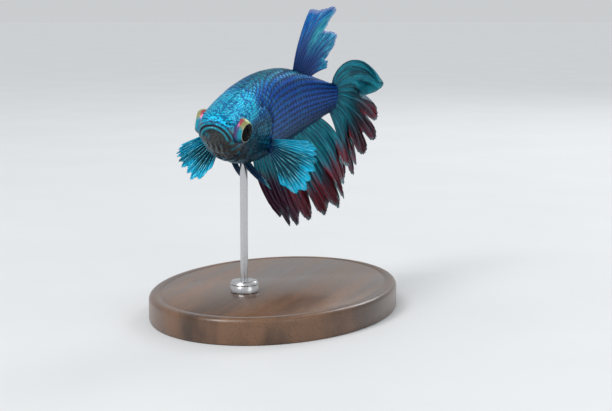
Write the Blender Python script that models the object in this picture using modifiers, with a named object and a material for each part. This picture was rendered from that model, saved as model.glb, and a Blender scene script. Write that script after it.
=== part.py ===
"""A betta, or Siamese fighting fish, as a life-size still model on a display stand.

The fish is first built straight, in millimetres: x is the fish's left, y runs from the nose to the tail,
and z is up. It is then bent along its swimming curve, scaled to metres and banked above the stand.
In the finished frame +Z is up, the nose points along -Y, and the origin is under the middle of the base.
"""

import math

import bmesh
import bpy
import numpy as np
from mathutils import Matrix, Vector

MM = 0.001
GAP = 0.3  # clearance between neighbouring pieces

# Body sections: distance from the nose, top, bottom, half width, and height of the widest point.
SECTIONS = (
    (0.0, 1.90, 1.90, 0.00, 1.90),
    (0.4, 2.70, 0.50, 2.05, 1.50),
    (1.6, 3.45, -1.45, 3.00, 1.05),
    (4.2, 4.20, -3.50, 3.60, 0.50),
    (8.0, 5.20, -5.40, 4.15, -0.20),
    (13.0, 6.30, -6.60, 4.50, -0.60),
    (19.0, 7.05, -6.80, 4.20, -0.35),
    (25.0, 6.80, -6.15, 3.45, 0.00),
    (31.0, 5.50, -4.90, 2.55, 0.15),
    (36.5, 3.95, -3.55, 1.75, 0.15),
    (41.0, 2.80, -2.50, 1.15, 0.10),
    (43.0, 2.65, -2.35, 1.00, 0.10),
)
BODY_END = 43.0
TAIL_ROUND_FROM = 41.0  # the end of the tail stalk is rounded from here
FULLNESS = 2.2  # how full the sections are between their widest and highest points; 2 is an ellipse
RINGS, RING_POINTS = 38, 28
RING_CROWDING = 1.15  # above 1, the rings are closer together at the nose than at the tail

# Where the body is parted, as distances from the nose.
NAPE, MID_TRUNK, STALK = 11.8, 24.5, 36.0

# The eye: its middle, its radii and how far it is turned forward.
EYE_MIDDLE = Vector((2.92, 3.85, 1.00))
EYE_RADIUS, EYE_DEPTH = 1.92, 1.60
EYE_FORWARD = math.radians(14)
ORBIT_AHEAD = Vector((0.75, -1.1, -0.1))  # the hollow in front of the eye, from the middle of the eye

# The gill cover is an oval plate: its middle, radii, the depth at which it is cut free, and how far out the
# cutter reaches.
GILL_Y, GILL_Z = 10.0, -0.9
GILL_LONG, GILL_TALL, GILL_INNER = 3.6, 4.3, 2.9
GILL_REACH = 4.0
PLUG_SIDES = 24

# The lower jaw, in side view: the mouth's line from the lips to its corner, then down to the throat.
JAW_SIDE = ((-1.0, 2.55), (2.3, 0.05), (3.9, -2.2), (3.5, -6.0), (-1.0, -6.0))
JAW_CUT, JAW_GAP_CUT = 5.0, 5.2  # half widths of the cutters for the jaw and for the gap round it
CORNER_GROWTH = 1.2  # how much further than its sides the corners of a grown outline move
CUT_WIDE, CUT_TALL = 9.0, 12.0  # half sizes of the blocks that part the trunk; larger than any section

FIN_THICK = 0.55
FIN_STEPS = 6  # along each ray
LOBE_SHAPE = 1.5  # above 1, the lobes of a fin's edge are narrow and the gaps between them wide

# Each fin: the number of lobes on its edge, how deep the gaps between them are, and rays at shares of its
# base: (share, root distance, root height, direction at the root, direction at the tip, length). Directions
# are in degrees above +Y.
DORSAL = dict(
    lobes=4,
    gap=0.06,
    rays=(
        (0.00, 27.8, 6.0, 98, 74, 10.4),
        (0.12, 28.4, 5.85, 92, 56, 11.4),
        (0.27, 29.2, 5.65, 86, 22, 13.2),
        (0.36, 29.7, 5.5, 80, 30, 10.2),
        (0.46, 30.2, 5.4, 72, 36, 8.6),
        (0.58, 30.8, 5.25, 64, 34, 9.4),
        (0.74, 31.6, 4.95, 54, 8, 11.4),
        (0.86, 32.3, 4.7, 44, 6, 8.6),
        (1.00, 33.2, 4.4, 26, 2, 5.0),
    ),
)
ANAL = dict(
    lobes=8,
    gap=0.15,
    rays=(
        (0.00, 18.2, -5.9, -62, -40, 16.0),
        (0.15, 21.0, -5.8, -60, -48, 18.2),
        (0.40, 26.0, -5.2, -52, -52, 19.2),
        (0.65, 30.8, -4.2, -38, -62, 18.0),
        (0.85, 34.8, -3.2, -28, -70, 16.4),
        (1.00, 37.8, -2.6, -20, -70, 13.5),
    ),
)
CAUDAL = dict(
    lobes=7,
    gap=0.17,
    rays=(
        (0.00, 40.9, 1.9, 114, -86, 12.8),
        (0.09, 41.1, 1.6, 80, -60, 13.2),
        (0.18, 41.3, 1.3, 34, -34, 12.6),
        (0.26, 41.4, 1.0, 12, -44, 13.0),
        (0.42, 41.5, 0.5, -8, -58, 14.8),
        (0.60, 41.5, -0.3, -20, -68, 16.8),
        (0.80, 41.3, -1.1, -32, -70, 17.0),
        (1.00, 40.9, -1.8, -44, -72, 16.8),
    ),
)
PECTORAL = dict(
    lobes=9,
    gap=0.08,
    rays=(
        (0.00, 0.0, 1.00, 8, 8, 6.6),
        (0.20, 0.1, 0.65, 4, 0, 7.8),
        (0.40, 0.1, 0.25, -4, -8, 8.4),
        (0.65, 0.1, -0.30, -24, -24, 8.7),
        (0.85, 0.1, -0.70, -40, -44, 9.0),
        (1.00, 0.0, -1.00, -56, -56, 5.7),
    ),
)
PELVIC = dict(
    lobes=2,
    gap=0.25,
    rays=(
        (0.00, 10.8, -4.8, -46, -26, 11.5),
        (1.00, 12.6, -4.8, -46, -34, 8.0),
    ),
)
# The pectoral fins row in turn: the left is swept back and open, and the right reaches forward and down, a
# little closed. Each has the angle between the fin and the body's rear, how far the fan is turned up, and how
# open it is.
PECTORAL_ROOT = Vector((4.1, 14.5, -3.0))
PECTORAL_CUP = 0.16  # how far its rays bow forward, as a share of their length
PECTORAL_CLOSED = 0.4  # how long the rays of a closed fin look, as a share of their length
PECTORAL_POSE = {
    1: (math.radians(62), 0.0, 1.0),
    -1: (math.radians(116), math.radians(-40), 0.80),
}
PELVIC_SPLAY = {1: 0.32, -1: 0.02}  # sideways run of each pelvic fin for each unit back
PELVIC_ROOT_X, PELVIC_ROOT_Y = 0.8, 11.0

# The swimming pose: the body is straight to the gills and then turns a little to the fish's left.
BEND_FROM, BEND_TO = 5.0, 33.0
BEND = math.radians(17.3)
NOSE_DOWN = math.radians(6.5)
BANK = math.radians(12)
POSE_POINT = Vector((0.0, 24.0, 0.0))  # the point of the straight fish that is over the base's middle
POSE_HEIGHT = 32.0

# The stand.
BASE_WIDE, BASE_LONG, BASE_THICK, BASE_EDGE = 38.0, 54.0, 4.0, 0.8
ROD_RADIUS, ROD_FROM_NOSE = 0.6, 15.6
ROD_IN_BODY, ROD_IN_BASE = 2.6, 2.5
FERRULE_RADIUS, FERRULE_TALL = 2.2, 1.6
ROD_SIDES, FERRULE_SIDES, BASE_SIDES = 20, 24, 56

SMOOTH_UP_TO = math.radians(35)  # sharper edges between faces are shaded sharp

# Colours.
TURQUOISE, ROYAL_BLUE, DEEP_BLUE = (0.02, 0.52, 0.62), (0.02, 0.06, 0.36), (0.01, 0.03, 0.16)
TEAL_RED, EYE_DARK = (0.12, 0.10, 0.18), (0.02, 0.02, 0.02)
STEEL, WALNUT = (0.6, 0.6, 0.62), (0.09, 0.045, 0.025)


# ---------------------------------------------------------------- shapes as functions


def smooth_table(table, at):
    """Values of a table's other columns where its first column is at, on a smooth curve through the rows."""
    rows = np.array(table, float)
    x, y = rows[:, 0], rows[:, 1:]
    slope = np.gradient(y, x, axis=0)
    i = int(np.clip(np.searchsorted(x, at) - 1, 0, len(x) - 2))
    step = x[i + 1] - x[i]
    t = (at - x[i]) / step
    return (
        (1 + 2 * t) * (1 - t) ** 2 * y[i]
        + t * (1 - t) ** 2 * step * slope[i]
        + t * t * (3 - 2 * t) * y[i + 1]
        + t * t * (t - 1) * step * slope[i + 1]
    )


def section(y):
    """Top, bottom, half width and widest height of the body at y. The table is read over the root of y, which
    rounds the nose."""
    over_root = [(math.sqrt(row[0]), *row[1:]) for row in SECTIONS]
    top, bottom, half_width, widest = smooth_table(over_root, math.sqrt(max(y, 0.0)))
    if y > TAIL_ROUND_FROM:
        share = (y - TAIL_ROUND_FROM) / (BODY_END - TAIL_ROUND_FROM)
        shrink = math.sqrt(max(0.0, 1 - share * share))
        top = widest + (top - widest) * shrink
        bottom = widest + (bottom - widest) * shrink
        half_width *= shrink
    return top, bottom, half_width, widest


def body_point(y, angle, swell=0.0):
    """A point of the body's surface at y, at an angle from the back round the fish's left side."""
    top, bottom, half_width, widest = section(y)
    across, up = (
        math.copysign(abs(part) ** (2 / FULLNESS), part) for part in (math.sin(angle), math.cos(angle))
    )
    reach = (top - widest if up > 0 else widest - bottom) + swell
    return Vector(((half_width + swell) * across, y, widest + reach * up))


def ray_point(fin, share, along):
    """A fin's middle surface before it is curved sideways. share runs along its base, along up its rays."""
    y, z, start, end, length = smooth_table(fin["rays"], share)
    lobe = abs(math.cos(math.pi * fin["lobes"] * share))
    length *= 1 - fin["gap"] * (1 - lobe**LOBE_SHAPE)
    turned = math.radians(start + (end - start) * along)
    middle = math.radians(start + (end - start) * along / 2)
    turn = turned - math.radians(start)
    chord = length * along * (math.sin(turn / 2) / (turn / 2) if abs(turn) > 1e-6 else 1.0)
    return y + chord * math.cos(middle), z + chord * math.sin(middle)


# ---------------------------------------------------------------- modelling helpers


def clear_scene():
    for old in list(bpy.data.objects):
        bpy.data.objects.remove(old)


def new_collection(name):
    found = bpy.data.collections.new(name)
    bpy.context.scene.collection.children.link(found)
    return found


def material(name, colour, roughness, metallic=0.0):
    made = bpy.data.materials.new(name)
    made.use_nodes = True
    shader = made.node_tree.nodes["Principled BSDF"]
    shader.inputs["Base Color"].default_value = (*colour, 1)
    shader.inputs["Roughness"].default_value = roughness
    shader.inputs["Metallic"].default_value = metallic
    return made


def new_object(name, mesh, collection):
    made = bpy.data.objects.new(name, mesh)
    collection.objects.link(made)
    return made


def object_from(name, bm, collection):
    mesh = bpy.data.meshes.new(name)
    bmesh.ops.recalc_face_normals(bm, faces=bm.faces)
    bm.to_mesh(mesh)
    bm.free()
    return new_object(name, mesh, collection)


def apply_modifiers(obj):
    graph = bpy.context.evaluated_depsgraph_get()
    made = bpy.data.meshes.new_from_object(obj.evaluated_get(graph))
    obj.modifiers.clear()
    obj.data = made
    return obj


def boolean(obj, other, operation):
    """Cuts obj by other, or keeps what is inside it, at once."""
    modifier = obj.modifiers.new(operation.lower(), "BOOLEAN")
    modifier.operation = operation
    modifier.solver = "EXACT"
    modifier.object = other
    return apply_modifiers(obj)


def copy_of(obj, name, collection):
    return new_object(name, obj.data.copy(), collection)


def hide(obj):
    obj.hide_render = True
    obj.display_type = "WIRE"
    return obj


def box(name, low, high, collection):
    bm = bmesh.new()
    bmesh.ops.create_cube(bm, size=1)
    middle = (Vector(low) + Vector(high)) / 2
    size = Vector(high) - Vector(low)
    bmesh.ops.transform(bm, matrix=Matrix.Translation(middle) @ Matrix.Diagonal((*size, 1)), verts=bm.verts)
    return hide(object_from(name, bm, collection))


def cylinder(name, radii, depth, matrix, collection, sides=PLUG_SIDES):
    """A cylinder with an oval section, along its own Z, placed by matrix."""
    bm = bmesh.new()
    bmesh.ops.create_cone(bm, cap_ends=True, segments=sides, radius1=1, radius2=1, depth=depth)
    bmesh.ops.transform(bm, matrix=matrix @ Matrix.Diagonal((*radii, 1, 1)), verts=bm.verts)
    return object_from(name, bm, collection)


def prism(name, outline, half_width, collection):
    """A closed outline in the y-z plane, made solid across x."""
    bm = bmesh.new()
    corners = [bm.verts.new((-half_width, y, z)) for y, z in outline]
    face = bm.faces.new(corners)
    grown = bmesh.ops.extrude_face_region(bm, geom=[face])
    moved = [v for v in grown["geom"] if isinstance(v, bmesh.types.BMVert)]
    bmesh.ops.translate(bm, vec=(2 * half_width, 0, 0), verts=moved)
    return hide(object_from(name, bm, collection))


def grown_outline(outline, by):
    """A convex outline moved outwards by a distance at each corner."""
    middle = Vector((sum(p[0] for p in outline), sum(p[1] for p in outline))) / len(outline)
    grown = []
    for i, corner in enumerate(outline):
        before = Vector(corner) - Vector(outline[i - 1])
        after = Vector(outline[(i + 1) % len(outline)]) - Vector(corner)
        out = Vector((-before.y, before.x)).normalized() + Vector((-after.y, after.x)).normalized()
        out.normalize()
        if out.dot(Vector(corner) - middle) < 0:
            out.negate()
        grown.append(tuple(Vector(corner) + out * by * CORNER_GROWTH))
    return grown


# ---------------------------------------------------------------- the body and what is cut from it


def loft_body(name, collection, swell=0.0):
    """The whole body as one closed loft of rings, closer together towards both ends."""
    bm = bmesh.new()
    nose = bm.verts.new((0, -swell, SECTIONS[0][1]))
    rings = []
    for i in range(1, RINGS):
        y = BODY_END * (1 - math.cos(math.pi * (i / RINGS) ** RING_CROWDING)) / 2
        ring = [
            bm.verts.new(body_point(y, 2 * math.pi * k / RING_POINTS, swell)) for k in range(RING_POINTS)
        ]
        rings.append(ring)
    end = bm.verts.new((0, BODY_END + swell, section(BODY_END)[3]))
    for k in range(RING_POINTS):
        after = (k + 1) % RING_POINTS
        bm.faces.new((nose, rings[0][k], rings[0][after]))
        bm.faces.new((end, rings[-1][after], rings[-1][k]))
        for a, b in zip(rings, rings[1:]):
            bm.faces.new((a[k], b[k], b[after], a[after]))
    return object_from(name, bm, collection)


def eyeball(name, side, grow, collection, moved=Vector()):
    """A flattened ball facing sideways and a little forward; moved shifts it out, back and up."""
    bm = bmesh.new()
    bmesh.ops.create_uvsphere(bm, u_segments=16, v_segments=10, radius=1)
    upright = Matrix.Rotation(math.pi / 2, 4, "Y")
    radii = Matrix.Diagonal((EYE_DEPTH + grow, EYE_RADIUS + grow, EYE_RADIUS + grow, 1))
    turn = Matrix.Rotation(-side * EYE_FORWARD, 4, "Z")
    middle = EYE_MIDDLE + moved
    place = Matrix.Translation((side * middle.x, middle.y, middle.z))
    bmesh.ops.transform(bm, matrix=place @ turn @ radii @ upright, verts=bm.verts)
    return object_from(name, bm, collection)


def gill_block(name, side, grow, collection):
    """An oval plug across the cheek, from the gill cover's inner depth outwards."""
    inner = GILL_INNER - grow
    middle = Matrix.Translation((side * (inner + GILL_REACH / 2), GILL_Y, GILL_Z))
    across = Matrix.Rotation(math.pi / 2, 4, "Y")
    radii = (GILL_TALL + grow, GILL_LONG + grow)
    return hide(cylinder(name, radii, GILL_REACH, middle @ across, collection))


def build_body(parts, cutters):
    """Parts the body into head, jaw, gill covers and lengths of trunk, with sockets for the eyes."""
    whole = loft_body("whole_body", cutters)
    made = []
    for side, word in ((1, "left"), (-1, "right")):
        made.append(eyeball(f"eye_{word}", side, 0.0, parts))
        boolean(whole, hide(eyeball("socket", side, GAP, cutters)), "DIFFERENCE")
        boolean(whole, hide(eyeball("orbit", side, 0.0, cutters, ORBIT_AHEAD)), "DIFFERENCE")
        cover = copy_of(whole, f"gill_cover_{word}", parts)
        made.append(boolean(cover, gill_block("gill", side, 0.0, cutters), "INTERSECT"))
    for side in (1, -1):
        boolean(whole, gill_block("gill_gap", side, GAP, cutters), "DIFFERENCE")
    jaw = copy_of(whole, "lower_jaw", parts)
    made.append(boolean(jaw, prism("jaw", JAW_SIDE, JAW_CUT, cutters), "INTERSECT"))
    jaw_gap = prism("jaw_gap", grown_outline(JAW_SIDE, GAP), JAW_GAP_CUT, cutters)
    boolean(whole, jaw_gap, "DIFFERENCE")
    lengths = (("head", -2.0, NAPE), ("trunk_front", NAPE, MID_TRUNK), ("trunk_rear", MID_TRUNK, STALK))
    for name, start, end in (*lengths, ("tail_stalk", STALK, BODY_END + 2)):
        low, high = (-CUT_WIDE, start + GAP / 2, -CUT_TALL), (CUT_WIDE, end - GAP / 2, CUT_TALL)
        block = box("length", low, high, cutters)
        made.append(boolean(copy_of(whole, name, parts), block, "INTERSECT"))
    hide(whole)
    return made


# ---------------------------------------------------------------- fins


def fin_sheet(name, fin, sideways, collection, columns_per_lobe=4):
    """A fin as a grid over its rays, moved by sideways(share, along, y, z), thickened, and then trimmed."""
    bm = bmesh.new()
    columns = fin["lobes"] * columns_per_lobe
    grid = []
    for i in range(columns + 1):
        share = i / columns
        column = []
        for j in range(FIN_STEPS + 1):
            along = j / FIN_STEPS
            y, z = ray_point(fin, share, along)
            column.append(bm.verts.new(sideways(share, along, y, z)))
        grid.append(column)
    for a, b in zip(grid, grid[1:]):
        for j in range(FIN_STEPS):
            bm.faces.new((a[j], b[j], b[j + 1], a[j + 1]))
    made = object_from(name, bm, collection)
    thick = made.modifiers.new("thick", "SOLIDIFY")
    thick.thickness = FIN_THICK
    thick.offset = 0.0
    return apply_modifiers(made)


def dorsal_wave(share, along, y, z):
    return Vector((0.9 * along**2 * math.sin(2 * math.pi * (0.9 * share + 0.1)), y, z))


def anal_wave(share, along, y, z):
    """Hangs plumb below the banked body, so it runs to the fish's left, with soft folds."""
    lean = 3.8 * along**1.3 * min(1.0, 0.15 + 2.5 * share)
    return Vector((lean + 1.3 * along**2 * math.sin(2 * math.pi * (1.6 * share + 0.2)), y, z))


def caudal_wave(share, along, y, z):
    """Turns to the fish's left, most at its upper lobe, with soft folds."""
    lean = (4.4 - 4.2 * share) * along**2
    return Vector((lean + 0.7 * along**2 * math.sin(2 * math.pi * (2.2 * share + 0.3)), y, z))


def pectoral_spread(side):
    """Lays the fin's plane across the body, cupped slightly forward."""
    spread, lift, open_share = PECTORAL_POSE[side]
    root = Vector((side * PECTORAL_ROOT.x, PECTORAL_ROOT.y, PECTORAL_ROOT.z))

    def move(share, along, y, z):
        reach = math.hypot(y, z) * (PECTORAL_CLOSED + (1 - PECTORAL_CLOSED) * open_share)
        angle = math.atan2(z, y) * open_share + lift
        out, up = reach * math.cos(angle), reach * math.sin(angle)
        back = out * math.cos(spread) - PECTORAL_CUP * reach * along
        return root + Vector((side * out * math.sin(spread), back, up))

    return move


def pelvic_splay(side):
    """Keeps the fin in its own plane, and swings it out to the side the further back it reaches."""

    def move(share, along, y, z):
        return Vector((side * (PELVIC_ROOT_X + PELVIC_SPLAY[side] * (y - PELVIC_ROOT_Y)), y, z))

    return move


def build_fins(parts, cutters):
    trim = hide(loft_body("trim_body", cutters, swell=GAP))
    made = [
        fin_sheet("dorsal_fin", DORSAL, dorsal_wave, parts),
        fin_sheet("anal_fin", ANAL, anal_wave, parts),
        fin_sheet("caudal_fin", CAUDAL, caudal_wave, parts),
    ]
    for side, word in ((1, "left"), (-1, "right")):
        made.append(fin_sheet(f"pectoral_fin_{word}", PECTORAL, pectoral_spread(side), parts, 3))
        made.append(fin_sheet(f"pelvic_fin_{word}", PELVIC, pelvic_splay(side), parts, 3))
    for fin in made:
        boolean(fin, trim, "DIFFERENCE")
    return made


# ---------------------------------------------------------------- pose and stand


def flexed(point):
    """A point of the straight fish, moved to where the swimming curve takes it."""
    rate = BEND / (BEND_TO - BEND_FROM)
    curved = min(max(point.y, BEND_FROM), BEND_TO) - BEND_FROM
    turn = rate * curved
    spine = Vector(((1 - math.cos(turn)) / rate, BEND_FROM + math.sin(turn) / rate, point.z))
    straight = point.y - BEND_FROM - curved
    ahead, aside = Vector((math.sin(turn), math.cos(turn), 0)), Vector((math.cos(turn), -math.sin(turn), 0))
    return spine + ahead * straight + aside * point.x


def fish_matrix():
    """From the bent fish, in millimetres, to the row frame, in metres."""
    turn = (Matrix.Rotation(NOSE_DOWN, 4, "X") @ Matrix.Rotation(BANK, 4, "Y")).to_4x4()
    lift = Matrix.Translation(Vector((0, 0, POSE_HEIGHT)) * MM)
    return lift @ turn @ Matrix.Scale(MM, 4) @ Matrix.Translation(-flexed(POSE_POINT))


def pose_fish(pieces):
    """Bends each piece, brings it to metres and hangs it on the empty that banks the fish."""
    matrix = fish_matrix()
    carrier = bpy.data.objects.new("fish", None)
    bpy.context.scene.collection.objects.link(carrier)
    carrier.location = matrix.translation
    carrier.rotation_euler = matrix.to_euler()
    for piece in pieces:
        for vertex in piece.data.vertices:
            vertex.co = flexed(vertex.co) * MM
        piece.parent = carrier


def build_stand(parts, cutters, trunk):
    """An oval base, a rod that stands in it and enters the belly, and a ferrule round the rod's foot."""
    belly = fish_matrix() @ flexed(body_point(ROD_FROM_NOSE, math.pi))
    rod_top = belly.z + ROD_IN_BODY * MM
    rod_foot = (BASE_THICK - ROD_IN_BASE) * MM
    upright = Matrix.Translation((belly.x, belly.y, (rod_top + rod_foot) / 2))
    radius = ROD_RADIUS * MM
    tall = rod_top - rod_foot
    rod = cylinder("stand_rod", (radius, radius), tall, upright, parts, ROD_SIDES)
    around_rod = (radius + GAP * MM,) * 2
    hole = hide(cylinder("rod_hole", around_rod, tall + 2 * GAP * MM, upright, cutters, ROD_SIDES))

    half = (BASE_WIDE / 2 * MM, BASE_LONG / 2 * MM)
    lying = Matrix.Translation((0, 0, BASE_THICK / 2 * MM))
    base = cylinder("stand_base", half, BASE_THICK * MM, lying, parts, BASE_SIDES)
    edge = base.modifiers.new("edge", "BEVEL")
    edge.width = BASE_EDGE * MM
    edge.segments = 2
    edge.limit_method = "ANGLE"
    boolean(base, hole, "DIFFERENCE")

    foot = (BASE_THICK + GAP) * MM
    middle = Matrix.Translation((belly.x, belly.y, foot + FERRULE_TALL / 2 * MM))
    wide = (FERRULE_RADIUS * MM,) * 2
    ferrule = cylinder("stand_ferrule", wide, FERRULE_TALL * MM, middle, parts, FERRULE_SIDES)
    boolean(ferrule, hole, "DIFFERENCE")

    socket = trunk.modifiers.new("rod_socket", "BOOLEAN")
    socket.solver = "EXACT"
    socket.object = hole
    return [rod, base, ferrule]


def colour_parts(pieces):
    finishes = {
        "stand_rod": material("steel", STEEL, 0.25, 1.0),
        "stand_base": material("walnut", WALNUT, 0.5),
        "stand_ferrule": material("ferrule", STEEL, 0.3, 1.0),
        "eye": material("eye", EYE_DARK, 0.08),
        "head": material("head_scales", TURQUOISE, 0.35, 0.4),
        "gill": material("cheek_scales", ROYAL_BLUE, 0.35, 0.4),
        "lower": material("jaw", DEEP_BLUE, 0.4, 0.2),
        "trunk": material("body_scales", ROYAL_BLUE, 0.35, 0.5),
        "tail": material("stalk_scales", ROYAL_BLUE, 0.35, 0.5),
        "pectoral": material("pectoral_rays", TURQUOISE, 0.35, 0.3),
        "pelvic": material("pelvic_rays", DEEP_BLUE, 0.4, 0.2),
        "dorsal": material("dorsal_rays", ROYAL_BLUE, 0.35, 0.3),
        "anal": material("anal_rays", TEAL_RED, 0.4, 0.2),
        "caudal": material("caudal_rays", TEAL_RED, 0.4, 0.2),
    }
    for piece in pieces:
        finish = finishes.get(piece.name) or finishes[piece.name.split("_")[0]]
        piece.data.materials.clear()
        piece.data.materials.append(finish)


def main():
    clear_scene()
    parts, cutters = new_collection("betta"), new_collection("cutters")
    cutters.hide_render = True
    fish = build_body(parts, cutters) + build_fins(parts, cutters)
    pose_fish(fish)
    bpy.context.view_layer.update()
    trunk = next(piece for piece in fish if piece.name == "trunk_front")
    stand = build_stand(parts, cutters, trunk)
    colour_parts(fish + stand)
    for piece in fish + stand:
        piece.data.shade_smooth()
        piece.data.set_sharp_from_angle(angle=SMOOTH_UP_TO)


main()
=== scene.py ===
"""The looks of the betta on its stand: one skin, a coat of scales, rayed fins, eyes and the turned stand.

The fish is worked out straight, in millimetres, with the part's sizes: x is the fish's left, y runs from the
nose to the tail, and z is up. Each point is then bent and banked as the part is.
"""

from math import acos, cos, pi, radians, sin, sqrt

import bmesh
import bpy
import numpy as np
from mathutils import Matrix, Vector, noise


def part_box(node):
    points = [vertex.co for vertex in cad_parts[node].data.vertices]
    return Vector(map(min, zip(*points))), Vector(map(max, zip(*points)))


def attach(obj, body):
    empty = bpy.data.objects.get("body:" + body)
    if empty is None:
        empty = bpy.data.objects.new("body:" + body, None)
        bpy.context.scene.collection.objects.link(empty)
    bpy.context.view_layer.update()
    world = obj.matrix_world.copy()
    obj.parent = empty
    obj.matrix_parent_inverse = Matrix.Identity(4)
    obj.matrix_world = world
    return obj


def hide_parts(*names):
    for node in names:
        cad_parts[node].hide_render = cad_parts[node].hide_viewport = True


MM = 0.001

# ---------------- sizes shared with the part

# Body sections: distance from the nose, top, bottom, half width, and height of the widest point.
SECTIONS = (
    (0.0, 1.90, 1.90, 0.00, 1.90),
    (0.4, 2.70, 0.50, 2.05, 1.50),
    (1.6, 3.45, -1.45, 3.00, 1.05),
    (4.2, 4.20, -3.50, 3.60, 0.50),
    (8.0, 5.20, -5.40, 4.15, -0.20),
    (13.0, 6.30, -6.60, 4.50, -0.60),
    (19.0, 7.05, -6.80, 4.20, -0.35),
    (25.0, 6.80, -6.15, 3.45, 0.00),
    (31.0, 5.50, -4.90, 2.55, 0.15),
    (36.5, 3.95, -3.55, 1.75, 0.15),
    (41.0, 2.80, -2.50, 1.15, 0.10),
    (43.0, 2.65, -2.35, 1.00, 0.10),
)
BODY_END = 43.0
TAIL_ROUND_FROM = 41.0
FULLNESS = 2.2

EYE_MIDDLE = np.array((2.92, 3.85, 1.00))
EYE_RADIUS, EYE_DEPTH = 1.92, 1.60
EYE_FORWARD = radians(14)
ORBIT_AHEAD = np.array((0.75, -1.1, -0.1))
GILL_Y, GILL_Z, GILL_LONG, GILL_TALL = 10.0, -0.9, 3.6, 4.3

# Each fin's rays at shares of its base: share, root distance, root height, direction at the root and at the
# tip in degrees above +Y, and length. The edge has lobes, with gaps between them of that share of the rays.
DORSAL = dict(lobes=4, gap=0.06)
DORSAL["rays"] = (
    (0.00, 27.8, 6.0, 98, 74, 10.4),
    (0.12, 28.4, 5.85, 92, 56, 11.4),
    (0.27, 29.2, 5.65, 86, 22, 13.2),
    (0.36, 29.7, 5.5, 80, 30, 10.2),
    (0.46, 30.2, 5.4, 72, 36, 8.6),
    (0.58, 30.8, 5.25, 64, 34, 9.4),
    (0.74, 31.6, 4.95, 54, 8, 11.4),
    (0.86, 32.3, 4.7, 44, 6, 8.6),
    (1.00, 33.2, 4.4, 26, 2, 5.0),
)
ANAL = dict(lobes=8, gap=0.15)
ANAL["rays"] = (
    (0.00, 18.2, -5.9, -62, -40, 16.0),
    (0.15, 21.0, -5.8, -60, -48, 18.2),
    (0.40, 26.0, -5.2, -52, -52, 19.2),
    (0.65, 30.8, -4.2, -38, -62, 18.0),
    (0.85, 34.8, -3.2, -28, -70, 16.4),
    (1.00, 37.8, -2.6, -20, -70, 13.5),
)
CAUDAL = dict(lobes=7, gap=0.17)
CAUDAL["rays"] = (
    (0.00, 40.9, 1.9, 114, -86, 12.8),
    (0.09, 41.1, 1.6, 80, -60, 13.2),
    (0.18, 41.3, 1.3, 34, -34, 12.6),
    (0.26, 41.4, 1.0, 12, -44, 13.0),
    (0.42, 41.5, 0.5, -8, -58, 14.8),
    (0.60, 41.5, -0.3, -20, -68, 16.8),
    (0.80, 41.3, -1.1, -32, -70, 17.0),
    (1.00, 40.9, -1.8, -44, -72, 16.8),
)
PECTORAL = dict(lobes=9, gap=0.08)
PECTORAL["rays"] = (
    (0.00, 0.0, 1.00, 8, 8, 6.6),
    (0.20, 0.1, 0.65, 4, 0, 7.8),
    (0.40, 0.1, 0.25, -4, -8, 8.4),
    (0.65, 0.1, -0.30, -24, -24, 8.7),
    (0.85, 0.1, -0.70, -40, -44, 9.0),
    (1.00, 0.0, -1.00, -56, -56, 5.7),
)
PELVIC = dict(lobes=2, gap=0.25)
PELVIC["rays"] = (
    (0.00, 10.8, -4.8, -46, -26, 11.5),
    (1.00, 12.6, -4.8, -46, -34, 8.0),
)
PECTORAL_ROOT = np.array((4.1, 14.5, -3.0))
PECTORAL_POSE = {
    1: (radians(62), 0.0, 1.0),
    -1: (radians(116), radians(-40), 0.80),
}
PELVIC_SPLAY = {1: 0.32, -1: 0.02}
PELVIC_ROOT_X, PELVIC_ROOT_Y = 0.8, 11.0
PECTORAL_CLOSED = 0.4  # how long the rays of a quite closed pectoral fin would look
PECTORAL_CUP = 0.16
LOBE_SHAPE = 1.5

BEND_FROM, BEND_TO = 5.0, 33.0
BEND = radians(17.3)
NOSE_DOWN = radians(6.5)
BANK = radians(12)
POSE_POINT = (0.0, 24.0, 0.0)
POSE_HEIGHT = 32.0

# ---------------- sizes of the looks

SKIN_IN = 0.12  # the skin lies this far inside the solids, which is the depth of the coat of scales
SIDES = {1: "left", -1: "right"}
FACE_REACH, HEAD_REACH = 8.0, 20.0  # where the relief of the face and of the head ends

# The skin's rows are even in the root of the distance as far as the face's end, and even from there on.
FACE_END, FACE_STEP, TRUNK_ROWS, SKIN_AROUND = 12.0, 0.0185, 96, 264

# Scales: distance from the nose, spacing along a row, spacing between rows.
SCALE_SIZES = (
    (0.0, 0.38, 0.29),
    (3.0, 0.42, 0.32),
    (7.0, 0.56, 0.43),
    (11.0, 0.80, 0.64),
    (15.0, 1.10, 0.92),
    (24.0, 1.22, 1.02),
    (33.0, 1.05, 0.84),
    (40.0, 0.78, 0.60),
    (44.0, 0.60, 0.46),
)
SCALE_OVERLAP = 1.75  # a scale's length, in spacings along its row
SCALE_RISE = 0.115  # how far its free edge stands up, in spacings
SCALE_THICK = 0.030
SCALE_GRID = 6
COAT_FROM, COAT_TO = 0.9, 42.2
COAT_BANDS = (("head", -1, 11.5), ("front", 11.5, 24.5), ("rear", 24.5, 99))
PATCH = 0.003  # a scale's width in the bake map

# The mouth, seen from the front, is an arch: the height of its corners, its half width and its rise.
MOUTH_Z, MOUTH_WIDE, MOUTH_RISE = -0.45, 2.40, 2.28
MOUTH_REACH = 4.5  # further back than this the skin doesn't belong to the mouth
LIPS_BARE, NOSTRIL_BARE, EYE_BARE = 0.82, 0.36, 0.18  # how far round them no scale roots

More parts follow.
